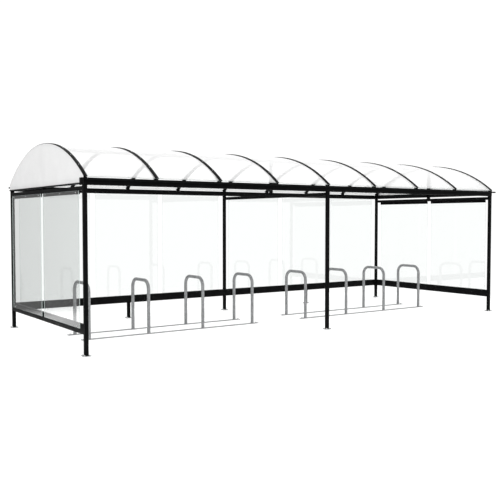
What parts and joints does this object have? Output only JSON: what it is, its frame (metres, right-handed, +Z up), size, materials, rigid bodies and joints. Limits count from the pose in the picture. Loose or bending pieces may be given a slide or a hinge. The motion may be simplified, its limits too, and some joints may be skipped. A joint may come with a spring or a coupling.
{
  "type": "bike shelter",
  "caption": "Open-fronted bike shelter with a barrel roof on a black steel frame, clear roof and wall panels, and floor racks of tubular hoops.",
  "frame": {"origin": "on the ground at the middle of the shelter's footprint", "axes": "+X along the shelter to the right as seen from the open front, +Y from the open front to the back, +Z up"},
  "size_m": [7.812, 3.09, 2.6999],
  "materials": {
    "black_steel": "fine-textured matt black powder coat",
    "galvanised_plate": "hot-dip galvanised, dull",
    "roof_clear": "clear polycarbonate, glossy",
    "gable_clear": "hazy clear polycarbonate",
    "wall_clear": "clear toughened glass",
    "rack_steel": "galvanised steel tube, dull"
  },
  "bodies": {
    "root": {"post_front_left": "black_steel", "post_front_middle": "black_steel", "post_front_right": "black_steel", "post_back_left": "black_steel", "post_back_middle": "black_steel", "post_back_right": "black_steel", "base_plates": "galvanised_plate", "rail_left": "black_steel", "rail_right": "black_steel", "rail_back_left": "black_steel", "rail_back_right": "black_steel", "eaves_beam_front": "black_steel", "eaves_beam_back": "black_steel", "ridge_purlin": "black_steel", "cross_frame_left": "black_steel", "cross_frame_middle": "black_steel", "cross_frame_right": "black_steel", "roof_rib_1": "black_steel", "roof_rib_2": "black_steel", "roof_rib_3": "black_steel", "roof_rib_4": "black_steel", "roof_rib_5": "black_steel", "roof_rib_6": "black_steel", "roof_rib_7": "black_steel", "roof_rib_8": "black_steel", "roof_rib_9": "black_steel", "roof_sheet_1": "roof_clear", "roof_sheet_2": "roof_clear", "roof_sheet_3": "roof_clear", "roof_sheet_4": "roof_clear", "roof_sheet_5": "roof_clear", "roof_sheet_6": "roof_clear", "roof_sheet_7": "roof_clear", "roof_sheet_8": "roof_clear", "gable_sheet_left": "gable_clear", "gable_sheet_right": "gable_clear", "wall_panel_left_front": "wall_clear", "wall_panel_left_back": "wall_clear", "wall_panels_back_left": "wall_clear", "bike_rack_left": "rack_steel", "wall_panel_right_front": "wall_clear", "wall_panel_right_back": "wall_clear", "wall_panels_back_right": "wall_clear", "bike_rack_right": "rack_steel"}
  },
  "joints": []
}
